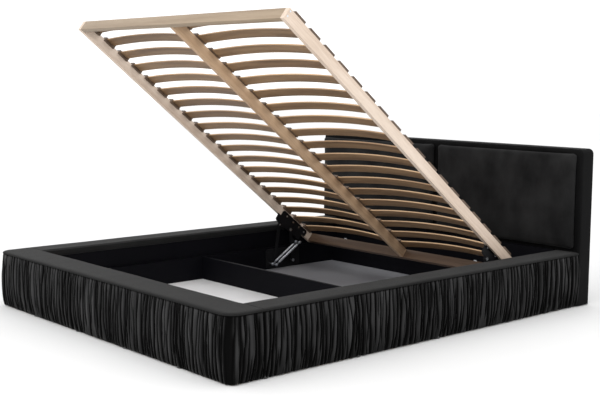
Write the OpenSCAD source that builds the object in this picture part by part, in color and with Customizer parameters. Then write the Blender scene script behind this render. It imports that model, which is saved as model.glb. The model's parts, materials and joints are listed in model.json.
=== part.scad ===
// Upholstered double bed with a sprung slat frame that lifts off a storage box.
// +Y points to the headboard, +X to the bed's right side, +Z up. The origin is on
// the floor at the middle of the bed. The slat frame is drawn in its raised place.

/* [Bed] */
// Length over the foot cover and the headboard
overall_length = 2350; // [2330:1:2370]
// Width over the side covers
overall_width = 1930; // [1910:1:1950]
// Height of the padded walls
base_height = 280; // [276:1:290]
// Height of the headboard
headboard_height = 805; // [700:5:1000]
// Thickness of the headboard with its front cushions
headboard_depth = 147; // [140:1:160]
// Width of the flat band on top of each side wall
side_band_width = 141; // [135:1:150]
// Width of the flat band on top of the foot wall
foot_band_width = 167; // [160:1:175]
// How far the gathered covers bulge past the bands
cover_bulge = 12; // [4:1:14]
// Height of the felt feet below the padded walls
foot_height = 12; // [8:1:14]

/* [Boards] */
// Thickness of the wall boards
board = 18; // [16:1:20]
// Height of the boards that the closed slat frame rests on
ledge_top = 148; // [140:1:148]
// Thickness of the side ledge boards
ledge_board = 26; // [20:1:26]
// Thickness of the floor panels
floor_board = 8; // [6:1:10]

/* [Cushions] */
// Thickness of the headboard's front cushions
cushion_depth = 42; // [36:1:50]
// Gap between the two headboard cushions
cushion_gap = 10; // [6:1:20]

/* [Slat frame] */
// Outer width of the slat frame
frame_width = 1600; // [1590:1:1604]
// Outer length of the slat frame
frame_length = 2000; // [1995:1:2004]
// Depth of the frame's rails
rail_depth = 52; // [46:1:66]
// Thickness of the frame's rails
rail_board = 22.5; // [20:0.5:24]
// Angle of the raised slat frame above level
lift_angle = 38.3; // [30:0.1:40]
// Slats in each of the two banks
slat_count = 19; // [12:1:19]
// Width of a slat along the bed
slat_width = 53; // [50:1:58]
// Thickness of a slat
slat_board = 8; // [6:1:10]
// Rise of a slat's bow at its middle
slat_bow = 22; // [8:1:30]
// Distance from one slat to the next
slat_pitch = 103; // [95:1:103]

/* [Lift] */
// Thickness of the flat lift links
link_plate = 4.8; // [4:0.1:4.8]
// Width of the lift links
link_width = 22; // [18:1:24]
// Radius of the pivot pins
pin_r = 5; // [4:0.5:5.5]
// Running clearance round the pivot pins
pin_play = 0.06; // [0.02:0.01:0.1]
// Outer radius of a lift spring
spring_r = 7.5; // [6:0.5:8]

/* [Hidden] */
$fn = 48;

velvet = [0.07, 0.07, 0.075];
black_board = [0.13, 0.13, 0.14];
bare_board = [0.72, 0.6, 0.44];
white_board = [0.9, 0.9, 0.9];
pale_wood = [0.9, 0.8, 0.68];
slat_wood = [0.8, 0.66, 0.5];
cap_plastic = [0.28, 0.19, 0.13];
black_steel = [0.1, 0.1, 0.11];
bright_steel = [0.72, 0.74, 0.77];
eps = 1;

// Plan of the padded walls
foot_face_y = -overall_length / 2;
band_foot_y = foot_face_y + cover_bulge;
inner_foot_y = band_foot_y + foot_band_width;
head_back_y = overall_length / 2;
cushion_face_y = head_back_y - headboard_depth;
shell_face_y = cushion_face_y + cushion_depth;
band_x = overall_width / 2 - cover_bulge;
opening_x = band_x - side_band_width;
foam = 19.5;
inner_board_x = opening_x + 2;
outer_board_x = band_x - foam - 0.5;
outer_board_y = band_foot_y + foam + 0.5;
corner_r = 60;
corner_x = band_x - corner_r;
corner_y = band_foot_y + corner_r;
shell_wall = 16;
head_panel = 24;

// Heights
wall_base = foot_height;
pad_thickness = 14;
wall_top = base_height - pad_thickness;
top_board_base = wall_top - board;
floor_base = foot_height;
floor_top = floor_base + floor_board;

// Lift pivots on the right side of the base, as [y, z]
front_pivot = [510, 50];
rear_pivot = [646, 60];
spring_pivot = [477, 57];
spring_top = [660, 172];
// Head end of the raised frame's underside, as [y, z]
frame_head = [794, 151];
// Pivots on the frame, as [distance from its head end, height over its underside]
front_joint = [274, -49];
rear_joint = [191, -29];

// Planes of the lift, as distances from the bed's middle
ledge_x = inner_board_x - ledge_board;
plate_x = ledge_x - 4;
front_link_x = plate_x - link_plate - 0.6;
rail_inner_x = frame_width / 2 - rail_board;
bracket_x = rail_inner_x - 3.5;
rear_link_x = bracket_x - 1.5 - link_plate;
spring_xs = [722, 755];
spring_pin_end = 713;

// Slat frame details
cap_length = slat_width + 15;
cap_top = rail_depth + 12;
cap_depth = rail_board + 12;
cap_floor = 2;
slat_gap = 0.3;
slat_inner_x = 4;
slat_outer_x = frame_width / 2 - 5;
slat_flat = 36;
slat_head = 51;

// Places
function frame_point(p) = [
  frame_head[0] - p[0] * cos(lift_angle) + p[1] * sin(lift_angle),
  frame_head[1] + p[0] * sin(lift_angle) + p[1] * cos(lift_angle)];
// A quarter circle round c, turning left from the bearing a
arc_steps = 10;
function arc(c, r, a) = [for (i = [0:arc_steps])
  c + r * [cos(a + 90 * i / arc_steps), sin(a + 90 * i / arc_steps)]];
function span(a, b) = norm(b - a);
function bearing(a, b) = atan2(b[1] - a[1], b[0] - a[0]);
front_top = frame_point(front_joint);
rear_top = frame_point(rear_joint);

module right() { children(); }
module left() { mirror([1, 0, 0]) children(); }
module both() {
  right() children();
  left() children();
}
// A box from its low to its high corner
module box(low, high) { translate(low) cube(high - low); }
// A rod along +X from x0 to x1 through the point [y, z]
module cross_rod(x0, x1, at, r) {
  translate([x0, at[0], at[1]]) rotate([0, 90, 0]) cylinder(h = x1 - x0, r = r);
}
// An outline drawn in [y, z] and made thick along +X from x0 to x1
module side_plate(x0, x1) {
  translate([x0, 0, 0]) rotate([90, 0, 90]) linear_extrude(x1 - x0) children();
}
// Children drawn in the slat frame's own frame: y falls from its head end, z rises
// from its underside
module on_frame() {
  translate([0, frame_head[0], frame_head[1]]) rotate([-lift_angle, 0, 0]) children();
}
// A flat bar with round ends between two points of one plane
module bar(a, b, w) {
  translate(a) circle(d = w);
  translate(b) circle(d = w);
  translate(a) rotate(bearing(a, b)) translate([0, -w / 2]) square([span(a, b), w]);
}

// ---- Padded walls ----
// Half section of a gathered cover: x out from the foam's inner face, y up
bulge_steps = 8;
function bulge_x(t) = foam + cover_bulge * 4 * t * (1 - t);
module cover_section() {
  h = wall_top - 2 - wall_base;
  polygon(concat([[0, 0]],
    [for (i = [0:bulge_steps]) [bulge_x(i / bulge_steps), h * i / bulge_steps]],
    [[0, h]]));
}
module side_cover() {
  color(velvet) translate([outer_board_x + 0.5, shell_face_y, wall_base])
    rotate([90, 0, 0]) linear_extrude(shell_face_y - inner_foot_y) cover_section();
}
module side_cover_left() { left() side_cover(); }
module side_cover_right() { right() side_cover(); }
module foot_cover() {
  turn = corner_r - foam;
  color(velvet) {
    translate([-corner_x, outer_board_y - 0.5, wall_base]) rotate([90, 0, 90])
      mirror([1, 0]) linear_extrude(2 * corner_x) cover_section();
    both() {
      translate([corner_x, corner_y, wall_base]) rotate([0, 0, -90])
        rotate_extrude(angle = 90, $fn = 64) translate([turn, 0]) cover_section();
      translate([outer_board_x + 0.5, inner_foot_y, wall_base]) rotate([90, 0, 0])
        linear_extrude(inner_foot_y - corner_y) cover_section();
    }
  }
}
module side_inner_board() {
  color(black_board) box([inner_board_x, inner_foot_y - board, wall_base],
    [inner_board_x + board, shell_face_y, top_board_base]);
}
module side_inner_board_left() { left() side_inner_board(); }
module side_inner_board_right() { right() side_inner_board(); }
module side_outer_board() {
  color(bare_board) box([outer_board_x - board, corner_y, wall_base],
    [outer_board_x, shell_face_y, top_board_base]);
}
module side_outer_board_left() { left() side_outer_board(); }
module side_outer_board_right() { right() side_outer_board(); }
module foot_inner_board() {
  color(black_board) box([-inner_board_x, inner_foot_y - board, wall_base],
    [inner_board_x, inner_foot_y, top_board_base]);
}
module foot_outer_board() {
  color(bare_board) box([-corner_x, outer_board_y, wall_base],
    [corner_x, outer_board_y + board, top_board_base]);
}
module rail_spacers() {
  side_x0 = inner_board_x + board;
  side_x1 = outer_board_x - board;
  foot_y0 = outer_board_y + board;
  foot_y1 = inner_foot_y - board;
  color(bare_board) {
    for (i = [0:4]) both() translate([0, inner_foot_y + 480 * i, 0])
      box([side_x0, 0, wall_base], [side_x1, board, top_board_base]);
    for (i = [-2:2]) translate([380 * i - board / 2, 0, 0])
      box([0, foot_y0, wall_base], [board, foot_y1, top_board_base]);
    both() translate([corner_x, corner_y, wall_base]) rotate([0, 0, -90])
      rotate_extrude(angle = 90) square([corner_r - foam - 0.5, top_board_base - wall_base]);
  }
}
module rail_top_boards() {
  color(bare_board) {
    box([-corner_x, outer_board_y, top_board_base], [corner_x, inner_foot_y, wall_top]);
    both() box([inner_board_x, inner_foot_y, top_board_base],
      [outer_board_x, shell_face_y, wall_top]);
  }
}
module side_top_pad() {
  color(velvet) box([opening_x, inner_foot_y, wall_top],
    [band_x, shell_face_y, base_height]);
}
module side_top_pad_left() { left() side_top_pad(); }
module side_top_pad_right() { right() side_top_pad(); }
module foot_top_pad() {
  color(velvet) translate([0, 0, wall_top]) linear_extrude(pad_thickness)
    polygon(concat(arc([-corner_x, corner_y], corner_r, 180),
      arc([corner_x, corner_y], corner_r, 270),
      [[band_x, inner_foot_y], [-band_x, inner_foot_y]]));
}
foot_r = 20;
foot_ys = [for (i = [0:4]) inner_foot_y + foot_r + 500 * i];
foot_xs = [-600:400:600];
floor_foot_ys = [-700:350:700];
module foot(x, y) { translate([x, y, 0]) cylinder(h = foot_height, r = foot_r); }
module feet() {
  color(black_steel) {
    both() for (y = foot_ys, x = [inner_board_x + board / 2, outer_board_x - board / 2])
      foot(x, y);
    for (x = foot_xs, y = concat([outer_board_y + board / 2, head_back_y - 50],
      [for (y = floor_foot_ys) y])) foot(x, y);
  }
}

// ---- Headboard ----
// Each post as its middle along x and its width
posts = [[-900, 30], [-300, 60], [300, 60], [900, 30]];
module head_wall_panel() {
  x = opening_x - 0.5;
  color(black_board) box([-x, shell_face_y - head_panel, wall_base],
    [x, shell_face_y, base_height + 2]);
}
module headboard_front_board() {
  x = band_x - shell_wall - 2;
  color(bare_board) difference() {
    box([-x, shell_face_y, wall_base],
      [x, shell_face_y + board, headboard_height - shell_wall - 2]);
    both() corner_bolt_line(shell_face_y - eps, shell_face_y + board + eps, 4.2);
  }
}
module headboard_posts() {
  color(bare_board) for (post = posts)
    box([post[0] - post[1] / 2, shell_face_y + board, wall_base],
      [post[0] + post[1] / 2, head_back_y - shell_wall, headboard_height - shell_wall - 2]);
}
// Front view of the headboard with its rounded top corners
module headboard_outline(x, top, r) {
  polygon(concat([[-x, wall_base], [x, wall_base]], arc([x - r, top - r], r, 0),
    arc([r - x, top - r], r, 90)));
}
module headboard_shell() {
  x = band_x - shell_wall - 1;
  color(velvet) difference() {
    translate([0, head_back_y, 0]) rotate([90, 0, 0])
      linear_extrude(head_back_y - shell_face_y)
      headboard_outline(band_x, headboard_height, 28);
    box([-x, shell_face_y - eps, wall_base - eps],
      [x, head_back_y - shell_wall + 0.5, headboard_height - shell_wall - 1]);
  }
}
module headboard_cushion() {
  color(velvet) box([cushion_gap / 2, cushion_face_y, base_height + 4],
    [band_x - 12, shell_face_y - 0.3, headboard_height - 15]);
}
module headboard_cushion_left() { left() headboard_cushion(); }
module headboard_cushion_right() { right() headboard_cushion(); }

// ---- Storage box ----
module ledge_board_side() {
  color(black_board) box([ledge_x, inner_foot_y, floor_base],
    [inner_board_x, shell_face_y - head_panel, ledge_top - 0.5]);
}
module ledge_board_left() { left() ledge_board_side(); }
module ledge_board_right() { right() ledge_board_side(); }
module ledge_board_foot() {
  color(black_board) box([-ledge_x, inner_foot_y, floor_top],
    [ledge_x, inner_foot_y + 22, ledge_top - 0.5]);
}
module ledge_board_head() {
  y = cushion_face_y - 40;
  color(black_board) box([-ledge_x, y, floor_top], [ledge_x, y + 22, ledge_top - 0.5]);
}
divider_y = -13;
module divider() {
  color(black_board) box([-ledge_x, divider_y, floor_top],
    [ledge_x, divider_y + board, ledge_top - 2]);
}
module floor_panel(y0, y1) {
  x = ledge_x - 0.3;
  color(white_board) box([-x, y0, floor_base], [x, y1, floor_top]);
}
module floor_panel_foot() { floor_panel(inner_foot_y, divider_y + board / 2); }
module floor_panel_head() { floor_panel(divider_y + board / 2, shell_face_y - head_panel); }

bolt_x = inner_board_x + board + 18;
bolt_heights = [90, 170];
module corner_bolt_line(y0, y1, r) {
  for (z = bolt_heights) translate([bolt_x, y0, z]) rotate([-90, 0, 0])
    cylinder(h = y1 - y0, r = r);
}
module corner_brackets() {
  x = inner_board_x + board;
  color(black_steel) both() difference() {
    union() {
      box([x, shell_face_y - 34, 60], [x + 4, shell_face_y, 200]);
      box([x + 4, shell_face_y - 4, 60], [x + 34, shell_face_y, 200]);
    }
    corner_bolt_line(shell_face_y - 4 - eps, shell_face_y + eps, 4.2);
  }
}
module corner_bolts() {
  color(bright_steel) both() {
    corner_bolt_line(shell_face_y - 4, shell_face_y + board, 4);
    corner_bolt_line(shell_face_y - 10, shell_face_y - 4, 6.5);
  }
}

// ---- Lift: parts fixed to the base ----
plate_screws = [[470, 118], [580, 40], [580, 118], [692, 40], [692, 118]];
plate_low = [448, 24];
plate_high = [708, 140];
plate_cut = 12;
module base_plate() {
  color(black_steel) difference() {
    side_plate(plate_x, ledge_x) polygon([plate_low + [0, plate_cut],
      plate_low + [plate_cut, 0], [plate_high[0] - plate_cut, plate_low[1]],
      [plate_high[0], plate_low[1] + plate_cut], plate_high - [0, plate_cut],
      plate_high - [plate_cut, 0], [plate_low[0] + plate_cut, plate_high[1]],
      [plate_low[0], plate_high[1] - plate_cut]]);
    for (p = [front_pivot, rear_pivot, spring_pivot])
      cross_rod(plate_x - eps, ledge_x + eps, p, pin_r + pin_play);
    for (p = plate_screws) cross_rod(plate_x - eps, ledge_x + eps, p, 6.2);
  }
}
module base_plate_left() { left() base_plate(); }
module base_plate_right() { right() base_plate(); }
module base_plate_screws() {
  color(bright_steel) both() for (p = plate_screws)
    cross_rod(plate_x + 0.2, ledge_x, p, 6);
}
module base_pivot_pins() {
  color(bright_steel) both() {
    cross_rod(front_link_x - 0.3, ledge_x, front_pivot, pin_r);
    cross_rod(front_link_x - 3.5, front_link_x - 0.3, front_pivot, 8);
    cross_rod(rear_link_x, ledge_x, rear_pivot, pin_r);
    cross_rod(rear_link_x - 3.5, rear_link_x - 0.3, rear_pivot, 9);
    cross_rod(rear_link_x - 0.3, rear_link_x, rear_pivot, pin_r);
    cross_rod(spring_pin_end, ledge_x, spring_pivot, pin_r);
  }
}

// ---- Lift: front links ----
module front_link() {
  x1 = front_link_x + link_plate;
  color(black_steel) difference() {
    side_plate(front_link_x, x1) {
      bar(front_pivot, front_top, link_width);
      translate(front_pivot) circle(r = 13);
      translate(front_top) circle(r = 14);
    }
    for (p = [front_pivot, front_top])
      cross_rod(front_link_x - eps, x1 + eps, p, pin_r + pin_play);
  }
}
module front_link_left() { left() front_link(); }
module front_link_right() { right() front_link(); }
// Pins fixed in the frame's brackets, on which the front links turn
module front_link_pins() {
  x1 = front_link_x + link_plate + 0.3;
  color(bright_steel) both() {
    cross_rod(bracket_x + 0.2, x1, front_top, pin_r);
    cross_rod(x1, x1 + 1.8, front_top, 8);
  }
}

// ---- Lift: rear links, sprung ----
module rear_link() {
  x1 = rear_link_x + link_plate;
  color(black_steel) difference() {
    side_plate(rear_link_x, x1) {
      bar(rear_pivot, rear_top, link_width);
      translate(rear_pivot) circle(r = 14);
      translate(rear_top) circle(r = 14);
      translate(spring_top) circle(r = 13);
      polygon([rear_pivot + [8, 14], spring_top + [13, 0], spring_top + [-6, 11.5],
        rear_top + [-6, -12], rear_pivot + [-4, 10]]);
    }
    cross_rod(rear_link_x - eps, x1 + eps, rear_pivot, pin_r + pin_play);
  }
}
module rear_link_left() { left() rear_link(); }
module rear_link_right() { right() rear_link(); }
// Rivets at the open pivot: they stop short of the bracket that they face
module rear_link_rivets() {
  color(bright_steel) both() {
    cross_rod(rear_link_x + link_plate, bracket_x - 0.3, rear_top, 9);
    cross_rod(rear_link_x - 3, rear_link_x, rear_top, 9);
  }
}

// ---- Lift: springs ----
spring_turn = bearing(spring_pivot, spring_top);
spring_length = span(spring_pivot, spring_top);
hook_length = 26;
module on_spring(x) {
  translate([x, spring_pivot[0], spring_pivot[1]]) rotate([spring_turn, 0, 0])
    children();
}
// A flat eye round the origin's cross pin with a shank along +Y to reach
module spring_eye(reach, bore) {
  difference() {
    union() {
      rotate([0, 90, 0]) cylinder(h = 5, r = 9, center = true);
      translate([0, reach / 2, 0]) cube([5, abs(reach), 6], center = true);
    }
    rotate([0, 90, 0]) cylinder(h = 8, r = bore, center = true);
  }
}
module spring_hooks() {
  color(bright_steel) both() for (x = spring_xs)
    on_spring(x) spring_eye(hook_length, pin_r + pin_play);
}
module spring_yokes() {
  color(bright_steel) both() {
    for (x = spring_xs) on_spring(x) translate([0, spring_length, 0])
      spring_eye(-hook_length, pin_r + pin_play);
    cross_rod(spring_pin_end, rear_link_x - 0.4, spring_top, pin_r);
  }
}
module spring_coils() {
  color(bright_steel) for (x = spring_xs) on_spring(x)
    translate([0, hook_length, 0]) rotate([-90, 0, 0])
    cylinder(h = spring_length - 2 * hook_length, r = spring_r);
}
module spring_coils_left() { left() spring_coils(); }
module spring_coils_right() { right() spring_coils(); }

// ---- Lift: brackets on the slat frame ----
bracket_span = [92, 325];
bracket_bolt_s = [112, 165, 228, 305];
bracket_bolt_x = rail_inner_x + 5;
// Upright wing on the rail's inner face, and its bolts
wing_span = [64, 302];
wing_top = rail_depth - 14;
wing_bolt_s = [88, 139, 196, 258];
wing_bolt_z = 20;
module wing_bolt_lines(r, x0, x1) {
  for (s = wing_bolt_s) cross_rod(x0, x1, [-s, wing_bolt_z], r);
}
module lift_bracket() {
  a = bracket_span[0];
  b = bracket_span[1];
  c = wing_span[0];
  d = wing_span[1];
  color(black_steel) on_frame() difference() {
    union() {
      side_plate(bracket_x, rail_inner_x) {
        polygon([[-a, -0.3], [-b, -0.3], [-b, -36], [-b + 8, -42],
          [-front_joint[0] - 16, front_joint[1]], [-front_joint[0] + 16, front_joint[1]],
          [-a - 120, -42], [-a - 4, -42], [-a, -38]]);
        translate([-front_joint[0], front_joint[1]]) circle(r = 16);
        polygon([[-a, -1], [-d, -1], [-d, wing_top - 10], [-d + 10, wing_top],
          [-c - 10, wing_top], [-c, wing_top - 10], [-c, 6], [-c - 8, -1]]);
      }
      box([rail_inner_x, -b, -4.3], [ledge_x - 1, -a, -0.3]);
    }
    cross_rod(bracket_x - eps, rail_inner_x + eps, [-front_joint[0], front_joint[1]],
      pin_r + pin_play);
    for (s = bracket_bolt_s) translate([bracket_bolt_x, -s, -6]) cylinder(h = 8, r = 2.2);
    wing_bolt_lines(2.2, bracket_x - eps, rail_inner_x + eps);
  }
}
module lift_bracket_left() { left() lift_bracket(); }
module lift_bracket_right() { right() lift_bracket(); }
module bracket_bolts() {
  color(bright_steel) both() on_frame() {
    for (s = bracket_bolt_s) translate([bracket_bolt_x, -s, 0]) {
      translate([0, 0, -6.3]) cylinder(h = 2, r = 3.8);
      translate([0, 0, -4.3]) cylinder(h = 30, r = 2);
    }
    wing_bolt_lines(2, bracket_x, rail_inner_x + 14);
    wing_bolt_lines(6, bracket_x - 1.2, bracket_x);
  }
}

// ---- Slat frame ----
screw_heights = [18, 42];
module frame_screw_lines(r, x0, x1) {
  for (s = [rail_board / 2, frame_length - rail_board / 2], h = screw_heights)
    cross_rod(x0, x1, [-s, h], r);
}
module frame_rail_side() {
  x = frame_width / 2;
  color(pale_wood) on_frame() difference() {
    box([x - rail_board, -frame_length, 0], [x, 0, rail_depth]);
    frame_screw_lines(2.4, x - rail_board - eps, x + eps);
    for (s = bracket_bolt_s) translate([bracket_bolt_x, -s, -eps])
      cylinder(h = 28, r = 2.2);
    wing_bolt_lines(2.2, x - rail_board - eps, rail_inner_x + 15);
  }
}
module frame_rail_left() { left() frame_rail_side(); }
module frame_rail_right() { right() frame_rail_side(); }
module frame_rail_centre() {
  color(pale_wood) on_frame() box([-rail_board / 2, rail_board - frame_length, 0],
    [rail_board / 2, -rail_board, rail_depth]);
}
module cross_rail(s) {
  x = rail_inner_x;
  color(pale_wood) on_frame() difference() {
    box([-x, -s - rail_board, 0], [x, -s, rail_depth]);
    both() frame_screw_lines(2.4, x - 40, x + eps);
    if (s < rail_board) both() stop_pin_line(2.4);
  }
}
module frame_rail_foot() { cross_rail(frame_length - rail_board); }
module frame_rail_head() { cross_rail(0); }
module frame_screws() {
  x = frame_width / 2;
  color(bright_steel) both() on_frame() {
    frame_screw_lines(2.2, x - 50, x);
    frame_screw_lines(4.5, x, x + 1.2);
  }
}
// Pins through the head rail that keep the mattress from sliding down
stop_pin_x = 490;
module stop_pin_line(r) {
  translate([stop_pin_x, -rail_board / 2, -eps])
    cylinder(h = rail_depth + 2 * eps, r = r);
}
module stop_pins() {
  color(bright_steel) both() on_frame() {
    translate([stop_pin_x, -rail_board / 2, 0.5]) cylinder(h = rail_depth - 0.5, r = 2.2);
    translate([stop_pin_x, -rail_board / 2, rail_depth]) cylinder(h = 7, r = 9);
  }
}

// Height of a slat's underside over the frame's underside at the distance x
slat_base = rail_depth + cap_floor + slat_gap;
slat_mid_x = (slat_inner_x + slat_outer_x) / 2;
slat_arc = (slat_outer_x - slat_inner_x) / 2 - slat_flat;
function bow(x) = slat_base
  + slat_bow * max(0, 1 - pow((x - slat_mid_x) / slat_arc, 2));
slat_steps = 14;
slat_xs = concat([slat_inner_x],
  [for (i = [0:slat_steps]) slat_mid_x + slat_arc * (2 * i / slat_steps - 1)],
  [slat_outer_x]);
slat_edges = len(slat_xs) - 1;
module slats() {
  outline = concat([for (x = slat_xs) [x, bow(x)]],
    [for (i = [slat_edges:-1:0]) [slat_xs[i], bow(slat_xs[i]) + slat_board]]);
  color(slat_wood) on_frame() for (i = [0:slat_count - 1])
    translate([0, -slat_head - slat_pitch * i, 0]) rotate([90, 0, 0])
    linear_extrude(slat_width) polygon(outline);
}
module slats_left() { left() slats(); }
module slats_right() { right() slats(); }

// A holder for one slat end: outer_x is its closed side, dir the way to its mouth
module slat_pocket(closed_x, mouth_x) {
  x0 = min(closed_x, mouth_x);
  x1 = max(closed_x, mouth_x);
  box([x0, -slat_head - slat_width - slat_gap, rail_depth + cap_floor],
    [x1, -slat_head + slat_gap, rail_depth + cap_floor + slat_board + 2 * slat_gap]);
}
module slat_caps_side() {
  x = frame_width / 2;
  margin = (cap_length - slat_width) / 2;
  color(cap_plastic) on_frame() for (i = [0:slat_count - 1])
    translate([0, -slat_pitch * i, 0]) difference() {
      union() {
        box([x - cap_depth, -slat_head - slat_width - margin, rail_depth],
          [x - 1, -slat_head + margin, cap_top]);
        box([x - cap_depth, -slat_head - slat_width - margin, rail_depth - 10],
          [x - rail_board - 0.2, -slat_head + margin, rail_depth]);
      }
      slat_pocket(slat_outer_x + slat_gap, x - cap_depth - eps);
    }
}
module slat_caps_left() { left() slat_caps_side(); }
module slat_caps_right() { right() slat_caps_side(); }
centre_cap_x = 24;
module slat_caps_centre() {
  margin = (cap_length - slat_width) / 2;
  color(cap_plastic) on_frame() for (i = [0:slat_count - 1])
    translate([0, -slat_pitch * i, 0]) difference() {
      box([-centre_cap_x, -slat_head - slat_width - margin, rail_depth],
        [centre_cap_x, -slat_head + margin, cap_top]);
      both() slat_pocket(slat_inner_x - slat_gap, centre_cap_x + eps);
    }
}

side_inner_board_left();
side_inner_board_right();
side_outer_board_left();
side_outer_board_right();
foot_inner_board();
foot_outer_board();
rail_spacers();
rail_top_boards();
side_cover_left();
side_cover_right();
foot_cover();
side_top_pad_left();
side_top_pad_right();
foot_top_pad();
head_wall_panel();
headboard_front_board();
headboard_posts();
headboard_shell();
headboard_cushion_left();
headboard_cushion_right();
ledge_board_left();
ledge_board_right();
ledge_board_foot();
ledge_board_head();
divider();
floor_panel_foot();
floor_panel_head();
feet();
corner_brackets();
corner_bolts();
base_plate_left();
base_plate_right();
base_plate_screws();
base_pivot_pins();
front_link_left();
front_link_right();
front_link_pins();
rear_link_left();
rear_link_right();
rear_link_rivets();
spring_hooks();
spring_yokes();
spring_coils_left();
spring_coils_right();
lift_bracket_left();
lift_bracket_right();
bracket_bolts();
frame_rail_left();
frame_rail_right();
frame_rail_centre();
frame_rail_foot();
frame_rail_head();
slats_left();
slats_right();
slat_caps_left();
slat_caps_right();
slat_caps_centre();
frame_screws();
stop_pins();
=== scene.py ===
import json
import math
import bmesh
import bpy
import numpy as np
from mathutils import Matrix, Vector


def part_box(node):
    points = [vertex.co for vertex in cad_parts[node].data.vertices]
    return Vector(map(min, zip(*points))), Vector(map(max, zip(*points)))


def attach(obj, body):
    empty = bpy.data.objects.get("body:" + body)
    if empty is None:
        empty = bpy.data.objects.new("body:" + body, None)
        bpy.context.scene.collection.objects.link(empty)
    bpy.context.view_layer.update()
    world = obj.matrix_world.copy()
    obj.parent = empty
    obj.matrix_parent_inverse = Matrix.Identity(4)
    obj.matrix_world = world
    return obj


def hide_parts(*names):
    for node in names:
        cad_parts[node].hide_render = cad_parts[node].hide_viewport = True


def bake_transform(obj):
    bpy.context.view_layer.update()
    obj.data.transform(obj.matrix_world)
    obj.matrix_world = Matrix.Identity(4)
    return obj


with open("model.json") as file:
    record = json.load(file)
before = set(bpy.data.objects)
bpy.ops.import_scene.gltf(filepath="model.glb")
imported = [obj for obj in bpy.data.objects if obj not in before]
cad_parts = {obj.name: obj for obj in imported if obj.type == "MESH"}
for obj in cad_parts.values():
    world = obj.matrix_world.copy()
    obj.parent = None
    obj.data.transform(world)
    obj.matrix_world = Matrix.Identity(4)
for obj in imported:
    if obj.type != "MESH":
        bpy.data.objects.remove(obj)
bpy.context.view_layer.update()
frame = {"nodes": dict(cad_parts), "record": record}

MM = 0.001
SEED = 7
NOISE_CELLS = 256

# ---------------------------------------------------------------- camera, floor, light
CAMERA_AT = Vector((4.044, -3.546, 1.1617))
CAMERA_AZIMUTH = math.radians(49.11)
CAMERA_PITCH = math.radians(6.668)
CAMERA_ROLL = math.radians(0.327)
CAMERA_LENS = 64.21
CAMERA_SHIFT = (0.0166, 0.0022)
CAMERA_SENSOR = 36
CAMERA_REACH = 60
WORLD_STRENGTH = 1.3
KEY_POWER = 62
TOP_POWER = 16
FLOOR_HALF = 30


def make_camera():
    az, pitch, roll = CAMERA_AZIMUTH, CAMERA_PITCH, CAMERA_ROLL
    ahead = Vector((-math.sin(az) * math.cos(pitch), math.cos(az) * math.cos(pitch),
                    -math.sin(pitch)))
    level = Vector((math.cos(az), math.sin(az), 0))
    up = level.cross(ahead)
    right = level * math.cos(roll) + up * math.sin(roll)
    up = up * math.cos(roll) - level * math.sin(roll)
    data = bpy.data.cameras.new("camera")
    data.lens = CAMERA_LENS
    data.sensor_width = CAMERA_SENSOR
    data.shift_x, data.shift_y = CAMERA_SHIFT
    data.clip_end = CAMERA_REACH
    camera = bpy.data.objects.new("camera", data)
    turn = Matrix((right, up, -ahead)).transposed().to_4x4()
    camera.matrix_world = Matrix.Translation(CAMERA_AT) @ turn
    bpy.context.scene.collection.objects.link(camera)
    bpy.context.scene.camera = camera


def area_light(name, at, target, size, power):
    data = bpy.data.lights.new(name, "AREA")
    data.shape = "RECTANGLE"
    data.size, data.size_y = size
    data.energy = power
    light = bpy.data.objects.new(name, data)
    aim = (Vector(target) - Vector(at)).to_track_quat("-Z", "Y").to_matrix().to_4x4()
    light.matrix_world = Matrix.Translation(at) @ aim
    bpy.context.scene.collection.objects.link(light)


def make_studio():
    world = bpy.data.worlds.new("studio")
    world.use_nodes = True
    background = world.node_tree.nodes["Background"]
    background.inputs["Color"].default_value = (1, 1, 1, 1)
    background.inputs["Strength"].default_value = WORLD_STRENGTH
    bpy.context.scene.world = world
    bpy.context.scene.view_settings.view_transform = "Standard"
    area_light("key_light", (2.1, -4.1, 3.2), (0, -0.4, 0.4), (2.4, 2.4),
               KEY_POWER)
    area_light("top_light", (-0.6, 0.4, 4.6), (0, 0, 0), (4.0, 4.0), TOP_POWER)
    mesh = bpy.data.meshes.new("floor")
    half = FLOOR_HALF
    mesh.from_pydata([(-half, -half, 0), (half, -half, 0), (half, half, 0),
                      (-half, half, 0)], [], [(0, 1, 2, 3)])
    floor = bpy.data.objects.new("floor", mesh)
    floor.data.materials.append(floor_material())
    bpy.context.scene.collection.objects.link(floor)


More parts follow.
